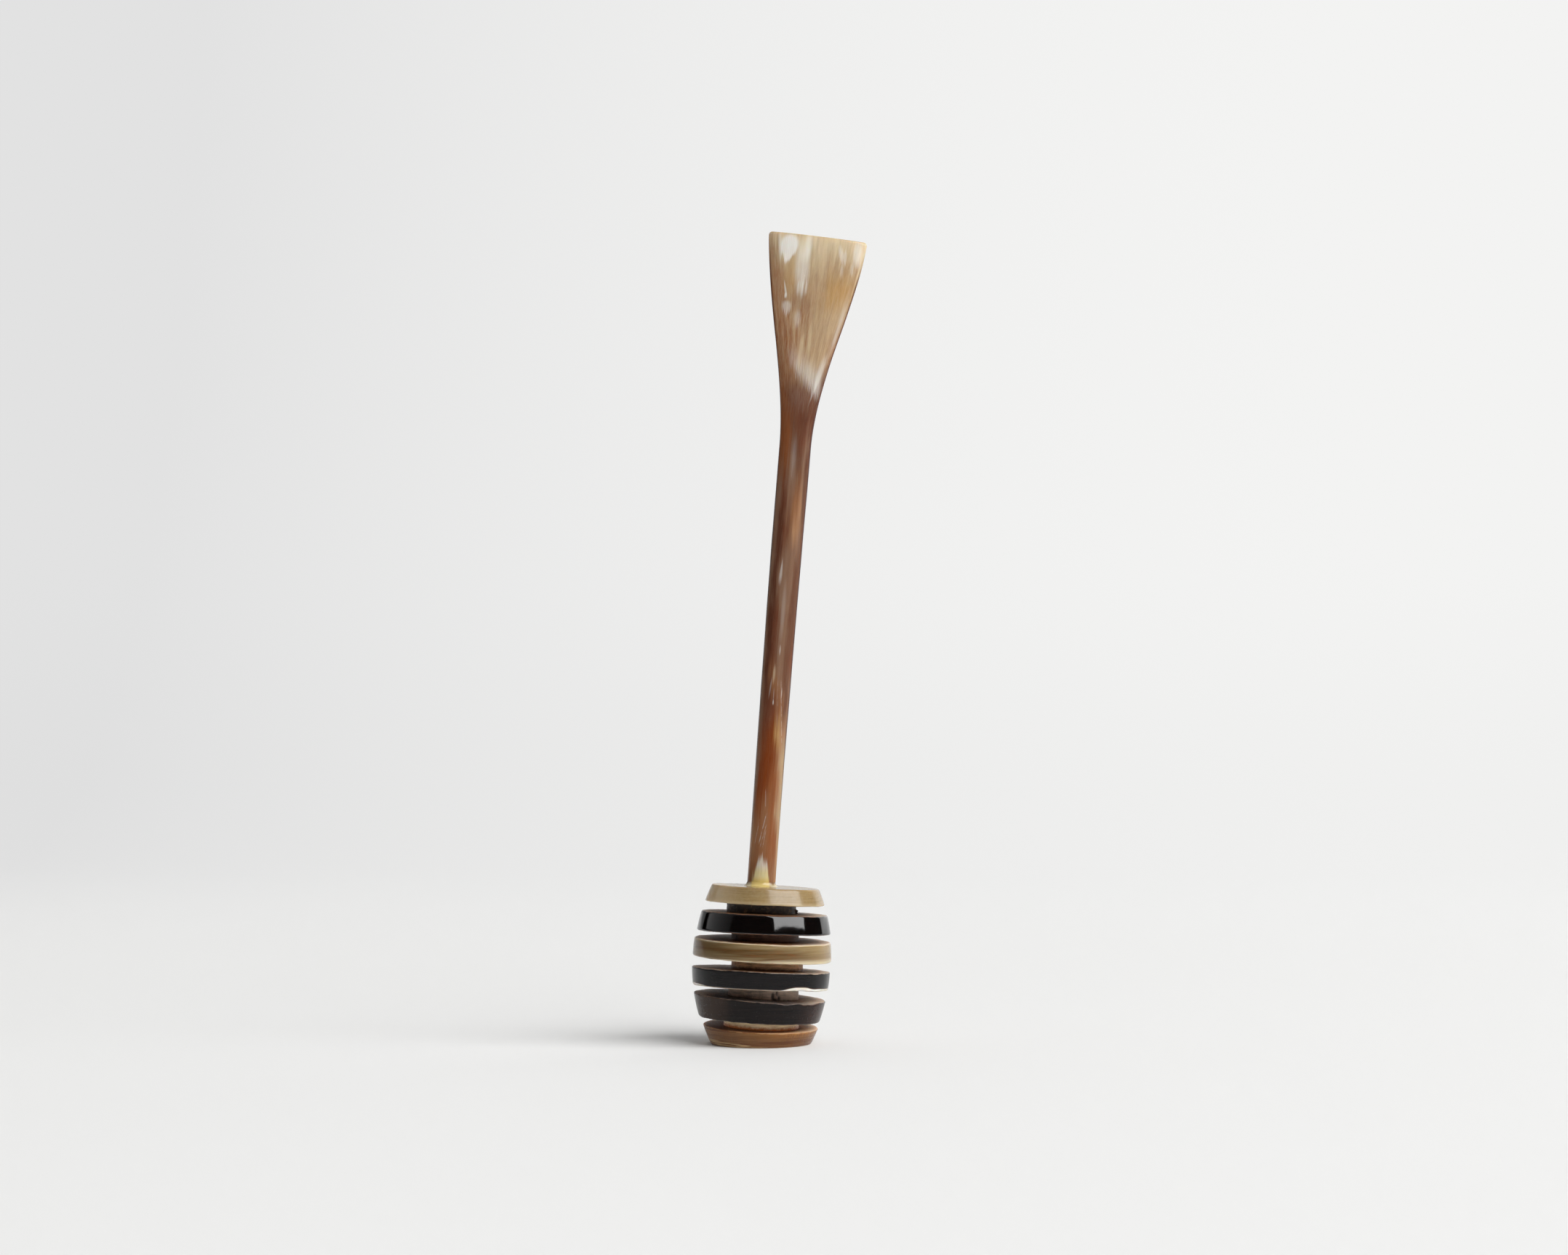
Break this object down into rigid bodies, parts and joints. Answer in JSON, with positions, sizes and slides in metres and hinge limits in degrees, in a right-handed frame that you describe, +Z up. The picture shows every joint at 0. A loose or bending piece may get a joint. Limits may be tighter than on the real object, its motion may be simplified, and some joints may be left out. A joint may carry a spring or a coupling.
{
  "type": "honey dipper",
  "caption": "Horn honey dipper: a barrel-shaped head of stacked discs with honey grooves between them, on a slender leaning handle that widens to a flat end.",
  "frame": {"origin": "middle of the lowest disc's flat underside, on the surface that the dipper stands on", "axes": "+Z up, +X to the side that the handle leans to, +Y to the back"},
  "size_m": [0.0346, 0.0274, 0.1602],
  "materials": {
    "horn_handle": "polished horn, streaked from cream at the flared end to dark brown in the stem",
    "horn_olive": "polished pale olive horn with fine streaks",
    "horn_black": "polished black horn",
    "horn_charcoal": "satin charcoal horn",
    "horn_brown": "polished brown horn with lengthwise streaks",
    "spacer_dark": "unpolished dark horn",
    "spacer_brown": "unpolished brown horn",
    "spacer_honey": "unpolished honey-coloured horn",
    "glue": "clear hardened glue",
    "rod_brass": "drawn rod"
  },
  "bodies": {
    "root": {"handle": "horn_handle", "glue_bead": "glue", "centre_rod": "rod_brass", "disc_1": "horn_olive", "disc_2": "horn_black", "disc_3": "horn_olive", "disc_4": "horn_charcoal", "disc_5": "horn_charcoal", "disc_6": "horn_brown", "spacer_1": "spacer_dark", "spacer_2": "spacer_dark", "spacer_3": "spacer_brown", "spacer_4": "spacer_brown", "spacer_5": "spacer_honey"}
  },
  "joints": []
}
